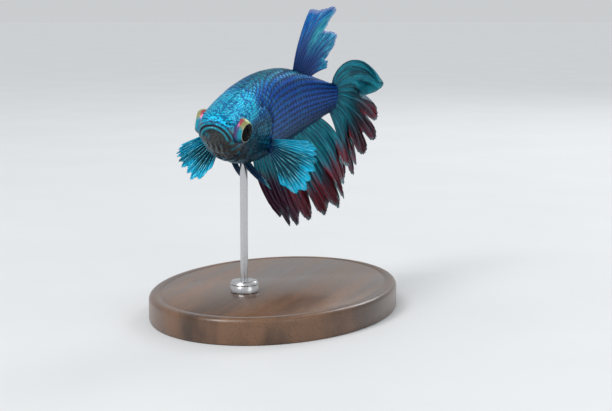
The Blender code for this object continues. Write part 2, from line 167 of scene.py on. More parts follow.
# How each fin is rayed: the number of rays, the shares of their length where they fork, how thick they are,
# how far the membrane stops short of their tips, the seed of its frayed edge, how deep it pleats, and the
# points across each ray and along it. notches are gaps between lobes: share of the base, width, and share of
# the rays.
DORSAL_RAYS = dict(rays=11, forks=(0.45, 0.75), thick=0.24, comb=0.025, seed=3)
DORSAL_RAYS["notches"] = ((0.90, 0.020, 0.22),)
ANAL_RAYS = dict(rays=24, forks=(0.45, 0.78), thick=0.20, comb=0.05, seed=4)
ANAL_RAYS["notches"] = ((0.19, 0.012, 0.14), (0.44, 0.014, 0.26), (0.69, 0.012, 0.20), (0.94, 0.012, 0.16))
CAUDAL_RAYS = dict(rays=14, forks=(0.35, 0.70), thick=0.22, comb=0.05, seed=5)
CAUDAL_RAYS["notches"] = (
    (0.214, 0.022, 0.46),
    (0.357, 0.016, 0.30),
    (0.50, 0.014, 0.20),
    (0.643, 0.016, 0.28),
    (0.786, 0.014, 0.20),
    (0.93, 0.012, 0.16),
)
PECTORAL_RAYS = dict(rays=13, forks=(0.4, 0.72), thick=0.17, comb=0.06, seed=6)
PECTORAL_RAYS.update(fold=0.06, detail=12, steps=44)
PELVIC_RAYS = dict(rays=5, forks=(0.6,), thick=0.20, comb=0.05, seed=7)
PELVIC_RAYS.update(fold=0.04, detail=10, steps=48)

# The pupil's radius round the eye's axis, where the ball is cut for it, and the lens's rise in it.
PUPIL, LENS_RISE = 1.36, 0.16

# The camera stands to the fish's left of dead ahead and looks slightly down. The nose is this far right of
# the middle of the view, ahead, and above it, in millimetres.
AZIMUTH, ELEVATION = radians(16.5), radians(8.0)
NOSE_IN_VIEW = (-13.5, 212.0, 9.7)
LENS = 86.5

# Disc lamps: place and width in metres, and watts. The sun and the lamps all shine at LIT.
LAMPS = (
    ("key", (-0.16, -0.34, 0.34), 0.16, 0.75),
    ("fill", (0.42, -0.20, 0.18), 0.24, 0.22),
    ("back", (0.12, 0.38, 0.30), 0.20, 0.45),
)
SUN_FROM, LIT = (-0.25, -0.55, 1.0), (0.0, 0.0, 0.03)
FLOOR_RADIUS = 3.0

BASE_ROUND = 0.8 * MM

# ---------------- small helpers


def smooth(value, low, high):
    """0 below low, 1 above high, and a smooth step between; high may be below low."""
    t = np.clip((np.asarray(value, float) - low) / (high - low), 0.0, 1.0)
    return t * t * (3 - 2 * t)


def hump(value, middle, width):
    return np.exp(-(((value - middle) / width) ** 2))


def smooth_table(table, at):
    """A table's other columns where its first column is at, on a smooth curve through the rows."""
    rows = np.array(table, float)
    x, y = rows[:, 0], rows[:, 1:]
    slope = np.gradient(y, x, axis=0)
    at = np.asarray(at, float)
    i = np.clip(np.searchsorted(x, at) - 1, 0, len(x) - 2)
    step = (x[i + 1] - x[i])[..., None]
    t = (at - x[i])[..., None] / step
    found = (
        (1 + 2 * t) * (1 - t) ** 2 * y[i]
        + t * (1 - t) ** 2 * step * slope[i]
        + t * t * (3 - 2 * t) * y[i + 1]
        + t * t * (t - 1) * step * slope[i + 1]
    )
    return np.moveaxis(found, -1, 0)


def xyz(*parts):
    """Points or shares of three numbers each."""
    return np.stack(np.broadcast_arrays(*parts), axis=-1)


def away(p, spot):
    """Distances from a spot on the fish's left, or from its mirror image for points on the right."""
    return np.linalg.norm(mirrored(p) - spot, axis=-1)


def unit(vectors):
    return vectors / np.maximum(np.linalg.norm(vectors, axis=-1, keepdims=True), 1e-12)


def mirrored(p):
    """Points with those on the fish's right moved to its left."""
    return np.concatenate([np.abs(p[..., :1]), p[..., 1:]], axis=-1)


def grain(points, size, seed=0.0):
    """Smooth noise of about that size, from -1 to 1, at points in millimetres."""
    shift = Vector((seed, seed, 0))
    found = [noise.noise(Vector(p) / size + shift) for p in points.reshape(-1, 3)]
    return np.array(found).reshape(points.shape[:-1])


# ---------------- the fish's shape


def section(y):
    """Top, bottom, half width and widest height of the body at y."""
    over_root = [(sqrt(row[0]), *row[1:]) for row in SECTIONS]
    y = np.asarray(y, float)
    top, bottom, half_width, widest = smooth_table(over_root, np.sqrt(np.maximum(y, 0.0)))
    share = np.clip((y - TAIL_ROUND_FROM) / (BODY_END - TAIL_ROUND_FROM), 0, 1)
    shrink = np.sqrt(1 - share * share)
    top, bottom = (widest + (edge - widest) * shrink for edge in (top, bottom))
    return top, bottom, half_width * shrink, widest


def body_point(y, angle):
    """Points of the smooth body at y, at angles from the back round the fish's left side."""
    top, bottom, half_width, widest = section(y)
    parts = np.sin(angle), np.cos(angle)
    across, up = (np.copysign(np.abs(part) ** (2 / FULLNESS), part) for part in parts)
    reach = np.where(up > 0, top - widest, widest - bottom)
    y = np.broadcast_to(np.asarray(y, float), across.shape)
    return xyz(half_width * across, y, widest + reach * up)


def body_normal(y, angle):
    """Outward directions of the smooth body there."""
    step = 2e-3
    ahead, behind = np.maximum(y - step, 1e-6), np.minimum(y + step, BODY_END - 1e-6)
    along = body_point(behind, angle) - body_point(ahead, angle)
    around = body_point(y, angle + step) - body_point(y, angle - step)
    return unit(np.cross(around, along))


def front_y(x, z):
    """How far behind the nose the front of the face is, at x and z."""
    low, high = np.zeros_like(x), np.full_like(x, FACE_REACH)
    for _ in range(40):
        middle = (low + high) / 2
        top, bottom, half_width, widest = section(middle)
        reach = np.where(z > widest, top - widest, widest - bottom)
        inside = (np.abs(x) / half_width) ** FULLNESS + (np.abs(z - widest) / reach) ** FULLNESS < 1
        low, high = np.where(inside, low, middle), np.where(inside, middle, high)
    return high


def flexed(points):
    """Points of the straight fish, moved to where the swimming curve takes them."""
    x, y, z = np.moveaxis(np.asarray(points, float), -1, 0)
    rate = BEND / (BEND_TO - BEND_FROM)
    curved = np.clip(y, BEND_FROM, BEND_TO) - BEND_FROM
    turn = rate * curved
    straight = y - BEND_FROM - curved
    across = (1 - np.cos(turn)) / rate + np.sin(turn) * straight + np.cos(turn) * x
    back = BEND_FROM + np.sin(turn) / rate + np.cos(turn) * straight - np.sin(turn) * x
    return xyz(across, back, z)


def fish_matrix():
    """From the bent fish, in millimetres, to the row frame, in metres."""
    turn = Matrix.Rotation(NOSE_DOWN, 4, "X") @ Matrix.Rotation(BANK, 4, "Y")
    lift = Matrix.Translation((0, 0, POSE_HEIGHT * MM))
    middle = Vector(flexed(POSE_POINT))
    return lift @ turn @ Matrix.Scale(MM, 4) @ Matrix.Translation(-middle)


FISH = np.array(fish_matrix())


def to_row(points):
    """Points of the straight fish in the row frame."""
    return flexed(points) @ FISH[:3, :3].T + FISH[:3, 3]


# ---------------- the face's features


def mouth_line():
    """Points along the mouth on the face, from the fish's right corner to its left."""
    turn = np.linspace(pi, 0, 121)
    x, z = MOUTH_WIDE * np.cos(turn), MOUTH_Z + MOUTH_RISE * np.sin(turn)
    return xyz(x, front_y(x, z), z)


MOUTH = mouth_line()
CORNER = MOUTH[-1] + (0.22, 0.25, -0.15)  # the fold beside the mouth's left corner
NOSTRILS = tuple((x, float(front_y(np.array(x), np.array(z))), z) for x, z in ((1.62, 2.52), (2.08, 2.40)))


def from_mouth(p):
    """Distance from the mouth's line, positive on the upper lip, and how far inside the corners, 0 to 1."""
    gap = np.full(p.shape[:-1], 9.0)
    open_share = np.zeros(p.shape[:-1])
    near = p[..., 1] < MOUTH_REACH
    q = p[near]
    gaps = np.linalg.norm(q[:, None] - MOUTH, axis=-1)
    nearest = gaps.argmin(axis=1)
    arch = np.hypot(q[:, 0] / MOUTH_WIDE, (q[:, 2] - MOUTH_Z) / MOUTH_RISE)
    above = (arch > 1) | (q[:, 2] < MOUTH_Z - 0.4)
    gap[near] = np.where(above, 1, -1) * gaps.min(axis=1)
    from_corner = np.minimum(nearest, len(MOUTH) - 1 - nearest) / (len(MOUTH) - 1)
    open_share[near] = smooth(from_corner, -0.02, 0.10) * smooth(q[:, 2], MOUTH_Z - 0.9, MOUTH_Z + 0.1)
    return gap, open_share


def eye_frame(p):
    """Distances out along the eye's axis, forward of it and above it, for the eye on each point's side."""
    x, y, z = np.abs(p[..., 0]) - EYE_MIDDLE[0], p[..., 1] - EYE_MIDDLE[1], p[..., 2] - EYE_MIDDLE[2]
    c, s = cos(EYE_FORWARD), sin(EYE_FORWARD)
    return x * c - y * s, -x * s - y * c, z


def gill_share(p):
    """1 at the gill cover's edge and 0 at its middle."""
    return np.hypot((p[..., 1] - GILL_Y) / GILL_LONG, (p[..., 2] - GILL_Z) / GILL_TALL)


def face_relief(p):
    """How far the skin stands out at the lips, folds and nostrils and the hollows round the eyes."""
    gap, inside = from_mouth(p)
    lips = -0.28 * hump(gap, 0, 0.085) + 0.20 * hump(gap, 0.30, 0.19) - 0.17 * hump(gap, 0.66, 0.10)
    lips += 0.24 * hump(gap, -0.34, 0.21) - 0.12 * hump(gap, -0.78, 0.13) + 0.07 * hump(gap, -1.05, 0.14)
    lips += 0.05 * hump(gap, -1.55, 0.16) - 0.06 * hump(gap, -1.30, 0.10)
    found = lips * inside + 0.20 * hump(away(p, CORNER), 0, 0.40)

    for spot in NOSTRILS:
        found += 0.11 * hump(away(p, spot), 0.21, 0.08) - 0.24 * hump(away(p, spot), 0, 0.12)

    out, forward, up = eye_frame(p)
    radial = np.hypot(forward, up)
    beside = smooth(out, -1.3, -0.6)
    hollow_out, hollow_forward, hollow_up = eye_frame(mirrored(p) - ORBIT_AHEAD)
    ahead = np.hypot(hollow_forward, hollow_up) / EYE_RADIUS
    hollow = hollow_out + EYE_DEPTH * np.sqrt(np.clip(1 - ahead * ahead, 0, 1))
    found -= np.clip(hollow, 0, 0.9) * smooth(ahead, 1.0, 0.8) * beside
    socket = smooth(radial, EYE_RADIUS - 0.05, EYE_RADIUS - 0.32)
    found = found * (1 - socket) - 1.5 * socket * beside
    found += 0.10 * hump(radial, EYE_RADIUS + 0.06, 0.10) * beside
    found -= 0.05 * hump(radial, EYE_RADIUS + 0.30, 0.12) * beside
    return found


def head_relief(p):
    """How far the skin stands out at the gill covers, the chin and throat folds and the pectoral roots."""
    x, y, z = np.moveaxis(p, -1, 0)
    edge = gill_share(p)
    rear = smooth(y, GILL_Y - 1.2, GILL_Y + 1.2)
    found = rear * 0.16 * smooth(edge, 0.55, 0.97) * smooth(edge, 1.035, 0.995)
    found -= rear * 0.20 * smooth(edge, 0.99, 1.04) * smooth(edge, 1.32, 1.05)
    found -= 0.06 * hump(edge, 0.60, 0.05) * smooth(z, 2.5, 1.0)
    found -= 0.05 * hump(edge, 0.99, 0.06) * (1 - rear) * smooth(z, 2.8, 1.4)
    chin = smooth(y, 0.6, 1.2) * smooth(y, 6.5, 4.5) * smooth(z, -0.6, -1.6)
    found += 0.045 * chin * np.sin(x * 7.5 + 0.8 * np.sin(y * 2.2)) * smooth(np.abs(x), 2.6, 1.6)
    throat = smooth(z, -2.8, -4.2) * smooth(y, 3.0, 4.5) * smooth(y, 11.5, 9.5)
    found += 0.06 * throat * np.sin(edge * 30)
    found -= 0.18 * hump(x, 0, 0.22) * smooth(z, -2.5, -4.0) * smooth(y, 2.6, 4.0) * smooth(y, 12, 9)
    root = np.hypot(y - PECTORAL_ROOT[1], z - PECTORAL_ROOT[2])
    found += 0.28 * hump(root, 0, 1.15) * smooth(np.abs(x), 1.5, 3.0)
    return found


def relief(p):
    found = np.zeros(p.shape[:-1])
    for reach, part in ((FACE_REACH, face_relief), (HEAD_REACH, head_relief)):
        near = p[..., 1] < reach
        found[near] += part(p[near])
    return found


def skin_point(y, angle, lift=0.0):
    """Points of the skin, or lifted off it, in the straight fish, and the smooth body's points there."""
    p, out = body_point(y, angle), body_normal(y, angle)
    return p + out * (relief(p) + lift - SKIN_IN)[..., None], p


def markings(p):
    """The markings at points of the body, for the skin and the scales alike, among them painted shade at the
    gill cover's rear edge and in the nostrils, and a dark red in the mouth's creases that is partly painted
    shade: how much of each there is, the place on the body, and the point itself in centimetres."""
    y, z = p[..., 1], p[..., 2]
    top, bottom, _, widest = section(y)
    height = (z - widest) / np.maximum(np.where(z > widest, top - widest, widest - bottom), 0.05)
    gap, inside = from_mouth(p)
    out, forward, up = eye_frame(p)
    radial = np.hypot(forward, up)
    beside = smooth(out, -1.0, 0.0)

    crown = smooth(height - 0.035 * (y - 3.0), 0.10, 0.52) * smooth(y, 11.5, 6.5)
    back = smooth(height, 0.80, 0.99) * smooth(y, 7.0, 12.0) * smooth(y, 34.0, 26.0)
    chin = smooth(height, 0.15, -0.35) * smooth(y, 10.5, 6.5)
    cheek = smooth(y, 4.4, 6.4) * smooth(y, 14.6, 13.2) * smooth(height, 0.62, 0.20)
    lip = np.maximum(hump(gap, 0.30, 0.24), hump(gap, -0.36, 0.24)) * inside
    lip = np.maximum(lip, 0.8 * hump(away(p, CORNER), 0, 0.42))
    # Partly the mouth's own dark red and partly painted shade, in its slit and in the fold above the upper
    # lip.
    mouth = np.maximum(hump(gap, 0.0, 0.095), 0.8 * hump(gap, 0.66, 0.08)) * inside
    lid = hump(radial, EYE_RADIUS + 0.15, 0.20) * smooth(forward, 0.3, 1.2) * smooth(up, -1.5, -0.6)
    orbit = np.maximum(hump(radial, EYE_RADIUS - 0.02, 0.13), lid) * beside
    # Painted shade in the nostrils' openings.
    nostril_shade = sum(hump(away(p, spot), 0, 0.17) for spot in NOSTRILS)
    # Painted shade: a dark line just behind the gill cover's rear edge.
    cover = hump(gill_share(p), 1.04, 0.035) * smooth(y, GILL_Y - 1.5, GILL_Y + 0.5)
    bare = smooth(y, 4.8, 3.4) * smooth(height, 0.65, 0.25) * smooth(height, -0.45, 0.0)
    bare *= smooth(np.abs(p[..., 0]), 1.7, 2.4)
    return {
        "marks": xyz(crown, back, chin),
        "face": xyz(cheek, lip, mouth),
        "rims": xyz(orbit, np.clip(nostril_shade, 0, 1), bare),
        "place": xyz(y / 10, height, cover),
        "spot": p / 10,
    }


# ---------------- meshes


def grid_faces(rows, columns, closed=False):
    """Quads of a grid of points held row after row; closed joins the last column to the first."""
    r = np.arange(rows - 1)[:, None]
    c = np.arange(columns if closed else columns - 1)[None, :]
    a, b = r * columns + c, r * columns + (c + 1) % columns
    return np.stack([a, b, b + columns, a + columns], axis=-1).reshape(-1, 4)


def closed_faces(rings, around):
    """Faces of closed rings of points, with a fan at each end to the two points that follow the rings."""
    ring = np.arange(around)
    after = (ring + 1) % around
    total, last = rings * around, (rings - 1) * around
    fans = np.concatenate([xyz(total, after, ring), xyz(total + 1, last + ring, last + after)])
    return [grid_faces(rings, around, closed=True), fans]


def new_piece(name, points, faces, attributes, finish):
    """A mesh object from arrays, in the row frame. faces is a list of arrays of triangles or quads."""
    mesh = bpy.data.meshes.new(name)
    loops = np.concatenate([f.ravel() for f in faces]).astype(np.int32)
    sizes = np.concatenate([np.full(len(f), f.shape[1]) for f in faces])
    mesh.vertices.add(len(points))
    mesh.vertices.foreach_set("co", np.asarray(points, np.float32).ravel())
    mesh.loops.add(len(loops))
    mesh.loops.foreach_set("vertex_index", loops)
    mesh.polygons.add(len(sizes))
    mesh.polygons.foreach_set("loop_start", (np.cumsum(sizes) - sizes).astype(np.int32))
    mesh.update(calc_edges=True)
    mesh.validate()
    for key, values in attributes.items():
        values = np.asarray(values, np.float32)
        if key == "OFBake":
            mesh.uv_layers.new(name=key).data.foreach_set("uv", values[loops].ravel())
        else:
            mesh.attributes.new(key, "FLOAT_VECTOR", "POINT").data.foreach_set("vector", values.ravel())
    mesh.polygons.foreach_set("use_smooth", np.ones(len(sizes), bool))
    made = bpy.data.objects.new(name, mesh)
    bpy.context.scene.collection.objects.link(made)
    mesh.materials.append(finish)
    return made


def place(piece, slot, *nodes):
    """Rides the piece on the model's one body, in place of those CAD nodes."""
    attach(piece, "root")
    if nodes:
        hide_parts(*nodes)


# ---------------- skin


def build_skin(finish):
    """The whole body as one closed skin, finest round the face."""
    face = np.arange(0.05, sqrt(FACE_END), FACE_STEP) ** 2
    trunk = np.linspace(FACE_END + 0.1, TAIL_ROUND_FROM, TRUNK_ROWS)
    stump = TAIL_ROUND_FROM + (BODY_END - TAIL_ROUND_FROM) * np.sin(np.linspace(0, pi / 2, 12)[1:-1])
    rows = np.concatenate([face, trunk, stump])
    turn = np.arange(SKIN_AROUND) * 2 * pi / SKIN_AROUND
    y, angle = np.meshgrid(rows, turn, indexing="ij")
    shaped, plain = skin_point(y, angle)
    rough = grain(plain, 0.45) * 0.05 * smooth(plain[..., 1], 9.0, 4.0) * smooth(plain[..., 2], 1.0, -0.5)
    rough += grain(plain, 0.22, 7.0) * 0.02 * smooth(plain[..., 1], 13.0, 9.0)
    shaped = shaped + body_normal(y, angle) * rough[..., None]
    end = np.array((0.0, BODY_END - SKIN_IN, section(BODY_END)[3]))
    points = np.concatenate([shaped.reshape(-1, 3), [shaped[0].mean(axis=0), end]])
    on_body = np.concatenate([plain.reshape(-1, 3), [(0, 0, SECTIONS[0][1]), end]])
    faces = closed_faces(len(rows), SKIN_AROUND)
    return new_piece("skin", to_row(points), faces, markings(on_body), finish)


# ---------------- scales


class Girth:
    """Angles round one side of the body by distance along its surface from the side's middle."""

    def __init__(self):
        self.y = np.linspace(0.02, BODY_END - 0.02, 700)
        self.share = np.linspace(0, 1, 400)
        angle = np.linspace(0, pi, 721)
        yy, aa = np.meshgrid(self.y, angle, indexing="ij")
        rings = body_point(yy, aa)
        steps = np.linalg.norm(np.diff(rings, axis=1), axis=-1)
        run = np.concatenate([np.zeros((len(self.y), 1)), np.cumsum(steps, axis=1)], axis=1)
        self.total = run[:, -1]
        self.middle = run[:, len(angle) // 2]
        self.angle = np.stack([np.interp(self.share * t, r, angle) for t, r in zip(self.total, run)])

    def ends(self, y):
        """Distances from the side's middle up to the back and down to the belly."""
        middle = np.interp(y, self.y, self.middle)
        return middle, np.interp(y, self.y, self.total) - middle

    def angles(self, y, down):
        """The angle at y, that far down from the side's middle, carried on past the back and the belly."""
        up_to_back, to_belly = self.ends(y)
        share = (down + up_to_back) / (up_to_back + to_belly)
        folded = np.where(share < 0, -share, np.where(share > 1, 2 - share, share))
        row = np.clip(np.interp(y, self.y, np.arange(len(self.y))), 0, len(self.y) - 1.001)
        column = np.clip(folded * (len(self.share) - 1), 0, len(self.share) - 1.001)
        i, j = row.astype(int), column.astype(int)
        a, b = row - i, column - j
        table = self.angle
        found = (1 - a) * ((1 - b) * table[i, j] + b * table[i, j + 1])
        found += a * ((1 - b) * table[i + 1, j] + b * table[i + 1, j + 1])
        return np.where(share < 0, -found, np.where(share > 1, 2 * pi - found, found))


def scale_roots(girth):
    """Roots of one side's scales in a brick pattern: distance from the nose, distance down, spacing, row
    height, slope of the row, and 1 for those across the back's ridge or the belly, which one side has."""
    found = []
    y, ring = COAT_FROM, 0
    while y < COAT_TO:
        spacing, height = smooth_table(SCALE_SIZES, y)
        spread = (smooth_table(SCALE_SIZES, y + 0.1)[1] - height) / 0.1
        to_back, to_belly = girth.ends(y)
        count = int(max(to_back, to_belly) / height) + 2
        rows = [row for row in range(-count, count + 1) if (row + ring) % 2 == 0]
        rows = [row for row in rows if -to_back + 0.9 * height < row * height < to_belly - 0.9 * height]
        found += [(y, row * height, spacing, height, row * spread, 0) for row in rows]
        for end, nearest in ((-to_back, rows[0] * height), (to_belly, rows[-1] * height)):
            gap = abs(end - nearest)
            if gap > 1.5 * height:
                found.append((y, end, spacing, min(gap - 0.9 * height, 1.5 * height), 0.0, 1))
        y += spacing / 2
        ring += 1
    return np.array(found)


def keeps_scale(p, length):
    """Whether a scale that long may root there. Lips, chin, nostrils, eyes and the bare skin before the eyes
    have none, and none crosses the gill cover's rear edge."""
    gap, _ = from_mouth(p)
    out, forward, up = eye_frame(p)
    radial = np.hypot(forward, up)
    y, z = p[..., 1], p[..., 2]
    near_eye = (radial < EYE_RADIUS + EYE_BARE) & (out > -1.0)
    before_eye = (y < 4.3) & (z < 2.4) & (np.abs(p[..., 0]) > 1.7)
    lips = np.abs(gap) < LIPS_BARE
    jaw = (y < 5.0) & (z < 0.6)
    pits = np.any([away(p, spot) < NOSTRIL_BARE for spot in NOSTRILS], axis=0)
    behind = gill_share(p + xyz(0, 0.55 * length, 0))
    crosses = (y > GILL_Y - 1.0) & (gill_share(p) < 1.04) & (behind > 1.03)
    return ~(near_eye | before_eye | lips | jaw | pits | crosses)


def scale_template():
    """One scale as a grid of (across -1 to 1, along 0 to 1) with a rim under its edge, and its faces."""
    steps = SCALE_GRID + 1
    across, along = np.meshgrid(np.linspace(-1, 1, steps), np.linspace(0, 1, steps))
    top = xyz(across.ravel(), along.ravel(), 1)
    index = np.arange(len(top)).reshape(steps, steps)
    edge = np.concatenate([index[:, 0], index[-1, 1:], index[-2::-1, -1]])
    under = len(top) + np.arange(len(edge))
    rim = np.stack([edge[:-1], edge[1:], under[1:], under[:-1]], axis=-1)
    points = np.concatenate([top, top[edge] * (0.97, 0.985, 0)])
    return points, np.concatenate([grid_faces(steps, steps), rim])


def build_coat(finish):
    """The coat as joined meshes: crown and cheeks, and the trunk's front and rear on each side."""
    girth = Girth()
    template, faces = scale_template()
    random = np.random.default_rng(11)
    across, along, raised = template.T
    pieces = []
    for side, word in SIDES.items():
        roots = scale_roots(girth)
        if side < 0:
            roots = roots[roots[:, 5] == 0]
        y0, down0, spacing = roots[:, :3].T
        home = body_point(y0 + 0.5 * spacing, girth.angles(y0 + 0.5 * spacing, down0)) * (side, 1, 1)
        roots = roots[keeps_scale(home, spacing * SCALE_OVERLAP)]
        y0, down0, spacing, height, slope = roots[:, :5].T[..., None]
        count, corners = len(roots), len(template)
        tone = random.uniform(0, 1, count)[:, None]
        tilt = np.clip(random.normal(0, 0.8, count), -1.2, 1.2)[:, None]
        grown = random.uniform(0.97, 1.03, count)[:, None]

        run = along * (1 - 0.30 * across**2) * (spacing * SCALE_OVERLAP * grown)
        y = np.minimum(y0 + run, BODY_END - 0.05)
        taper = 0.78 + 0.22 * np.sin(pi * np.minimum(along * 1.1, 1.0))
        down = down0 + across * (height * 1.10 * grown) * taper + slope * run
        lift = SCALE_RISE * spacing * (1 + 0.05 * tilt) * (0.12 + 0.88 * along) - 0.02
        lift += spacing * (0.020 * (1 - across**2) * along + 0.005 * tilt * across)
        lift -= (1 - raised) * SCALE_THICK * (0.6 + spacing)
        shaped, _ = skin_point(y, girth.angles(y, down) * side, np.maximum(lift, -0.03))
        points = to_row(shaped)

        middle = y0 + 0.6 * spacing
        marks = markings(body_point(middle, girth.angles(middle, down0) * side))
        marks["scale"] = xyz(along, across, tone)
        root_u = 0.5 + side * girth.angles(y0, down0) / (2 * pi) * 0.98
        root = np.stack([root_u, 0.01 + 0.98 * y0 / BODY_END], axis=-1)
        marks["OFBake"] = root + np.stack([across, along - 0.5], axis=-1) * PATCH * (0.5, 1.0)
        turned = faces if side > 0 else faces[:, ::-1]
        for band, start, end in COAT_BANDS:
            chosen = np.flatnonzero((roots[:, 0] >= start) & (roots[:, 0] < end))
            held = {}
            for key, values in marks.items():
                values = np.repeat(values[chosen], corners // values.shape[1], axis=1)
                held[key] = values.reshape(-1, values.shape[-1])
            joined = (turned + np.arange(len(chosen))[:, None, None] * corners).reshape(-1, 4)
            name = f"scales_{band}_{word}"
            pieces.append(new_piece(name, points[chosen].reshape(-1, 3), [joined], held, finish))
    return pieces


# ---------------- fins


def ray_point(fin, share, along, reach):
    """A fin's middle surface before it is curved sideways; reach scales each ray's length."""
    y, z, start, end, length = smooth_table(fin["rays"], share)
    lobe = np.abs(np.cos(pi * fin["lobes"] * share))
    length = length * (1 - fin["gap"] * (1 - lobe**LOBE_SHAPE)) * reach
    turn = np.radians(end - start) * along
    middle = np.radians(start) + turn / 2
    half = np.where(np.abs(turn) < 1e-6, 1e-6, turn / 2)
    chord = length * along * np.sin(half) / half
    return y + chord * np.cos(middle), z + chord * np.sin(middle)


def dorsal_wave(share, along, y, z):
    return xyz(0.9 * along**2 * np.sin(2 * pi * (0.9 * share + 0.1)), y, z)


def anal_wave(share, along, y, z):
    lean = 3.8 * along**1.3 * np.minimum(1.0, 0.15 + 2.5 * share)
    return xyz(lean + 1.3 * along**2 * np.sin(2 * pi * (1.6 * share + 0.2)), y, z)


def caudal_wave(share, along, y, z):
    lean = (4.4 - 4.2 * share) * along**2
    return xyz(lean + 0.7 * along**2 * np.sin(2 * pi * (2.2 * share + 0.3)), y, z)


def pectoral_spread(side):
    spread, lift, open_share = PECTORAL_POSE[side]

    def move(share, along, y, z):
        reach = np.hypot(y, z) * (PECTORAL_CLOSED + (1 - PECTORAL_CLOSED) * open_share)
        angle = np.arctan2(z, y) * open_share + lift
        out, up = reach * np.cos(angle), reach * np.sin(angle)
        back = out * cos(spread) - PECTORAL_CUP * reach * along
        return PECTORAL_ROOT * (side, 1, 1) + xyz(side * out * sin(spread), back, up)

    return move


def pelvic_splay(side):
    def move(share, along, y, z):
        return xyz(side * (PELVIC_ROOT_X + PELVIC_SPLAY[side] * (y - PELVIC_ROOT_Y)), y, z)

    return move


def ray_ridges(share, along, count, forks, width=0.20):
    """1 on the rays and 0 between them. Each ray forks at the given shares of its length."""
    cell = share * count
    ray = np.clip(np.floor(cell), 0, count - 1)
    offset = cell - ray - 0.5
    fork_width, centre, swing = width, 0.0, 0.25
    for at in forks:
        spread = swing * smooth(along, at, min(1.0, at + 0.35))
        centre = centre + np.where(offset > centre, 1, -1) * spread
        fork_width = fork_width * (1 - 0.32 * smooth(along, at, at + 0.1))
        swing /= 2
    return hump(offset, centre, fork_width)


def build_fin(
    name, fin, move, finish, rays, forks, thick, comb, seed, notches=(), fold=0.10, detail=14, steps=56
):
    """A fin of rays with membrane between them, as one closed mesh, from its table and its way of rays."""
    random = np.random.default_rng(seed)
    share, along = np.meshgrid(
        np.linspace(0, 1, rays * detail + 1), np.linspace(0, 1, steps + 1) ** 0.92, indexing="ij"
    )
    tips = ray_ridges(share, np.ones_like(share), rays, forks, 0.26)
    frayed = np.interp(share, np.linspace(0, 1, rays * 2 + 1), random.uniform(-1, 1, rays * 2 + 1))
    reach = 1 - comb * (1 - tips) + 0.35 * frayed * comb
    for at, width, depth in notches:
        reach = reach - depth * hump(share, at, width)
    reach = 1 + (reach - 1) * smooth(along, 0.45, 1.0)
    y, z = ray_point(fin, share, along, reach)
    middle = move(share, along, y, z)
    out = unit(np.cross(np.gradient(middle, axis=0), np.gradient(middle, axis=1)))
    ridge = ray_ridges(share, along, rays, forks)
    pleat = np.cos(2 * pi * share * rays) * fold * smooth(along, 0.05, 0.6)
    middle = middle + out * pleat[..., None]
    half = thick * (0.20 + 0.80 * ridge) * (1 - 0.62 * along) * (0.35 + 0.65 * smooth(along, 1.0, 0.93))
    thickness = out * half[..., None]
    first = grid_faces(*share.shape)
    count = share.size
    index = np.arange(count).reshape(share.shape)
    edge = np.concatenate([index[0, :-1], index[:-1, -1], index[-1, :0:-1], index[:0:-1, 0]])
    after = np.roll(edge, -1)
    rim = np.stack([edge, after, after + count, edge + count], axis=-1)
    points = np.concatenate([middle + thickness, middle - thickness]).reshape(-1, 3)
    sheet = np.tile(xyz(share, along, ridge).reshape(-1, 3), (2, 1))
    return new_piece(name, to_row(points), [first[:, ::-1], first + count, rim], {"fin": sheet}, finish)


# ---------------- eyes


def eye_to_fish(side, forward, up, height):
    """From an eye's own axes, forward, up and out along its own axis, to the straight fish."""
    c, s = cos(EYE_FORWARD), sin(EYE_FORWARD)
    x = EYE_MIDDLE[0] + height * c - forward * s
    y = EYE_MIDDLE[1] - height * s - forward * c
    return xyz(side * x, y, EYE_MIDDLE[2] + up)


def turned_piece(name, side, profile, finish, around=96):
    """A closed shape turned round an eye's axis, from (radius, height) points that start and end on it."""
    radius, height = np.array(profile[1:-1]).T[..., None]
    turn = np.arange(around) * 2 * pi / around
    own = xyz(radius * np.cos(turn), radius * np.sin(turn), height).reshape(-1, 3)
    own = np.concatenate([own, [(0, 0, profile[0][1]), (0, 0, profile[-1][1])]])
    faces = closed_faces(len(profile) - 2, around)
    if side > 0:
        faces = [f[:, ::-1] for f in faces]
    return new_piece(name, to_row(eye_to_fish(side, *own.T)), faces, {"eye": own}, finish)


def eye_profile():
    """The ball from its back round its side, which is the iris, to the pupil and the lens in its face."""
    lip = acos((PUPIL + 0.07) / EYE_RADIUS)
    ball = [(EYE_RADIUS * cos(t), EYE_DEPTH * sin(t)) for t in np.linspace(-pi / 2, lip, 40)]
    ball[0] = (0.0, -EYE_DEPTH)
    rim = ball[-1][1]
    edge = [(PUPIL + 0.03, rim + 0.03), (PUPIL - 0.01, rim - 0.01), (PUPIL - 0.03, rim - 0.06)]
    turn = np.linspace(0.12, 1.0, 12) * pi / 2
    lens = [((PUPIL - 0.05) * cos(t), rim - 0.09 + LENS_RISE * sin(t)) for t in turn]
    lens[-1] = (0.0, lens[-1][1])
    return ball + edge + lens


def cornea_profile():
    """A thin clear dome over the pupil, from its inner side round its foot to its outer side."""
    turn = np.linspace(pi / 2, acos((PUPIL + 0.22) / EYE_RADIUS), 16)
    inner = [((EYE_RADIUS - 0.03) * cos(t), (EYE_DEPTH - 0.03) * sin(t)) for t in turn]
    outer = [((EYE_RADIUS + 0.02) * cos(t), (EYE_DEPTH + 0.02) * sin(t)) for t in turn[::-1]]
    inner[0], outer[-1] = (0.0, EYE_DEPTH - 0.03), (0.0, EYE_DEPTH + 0.02)
    return inner + outer


# ---------------- finishes


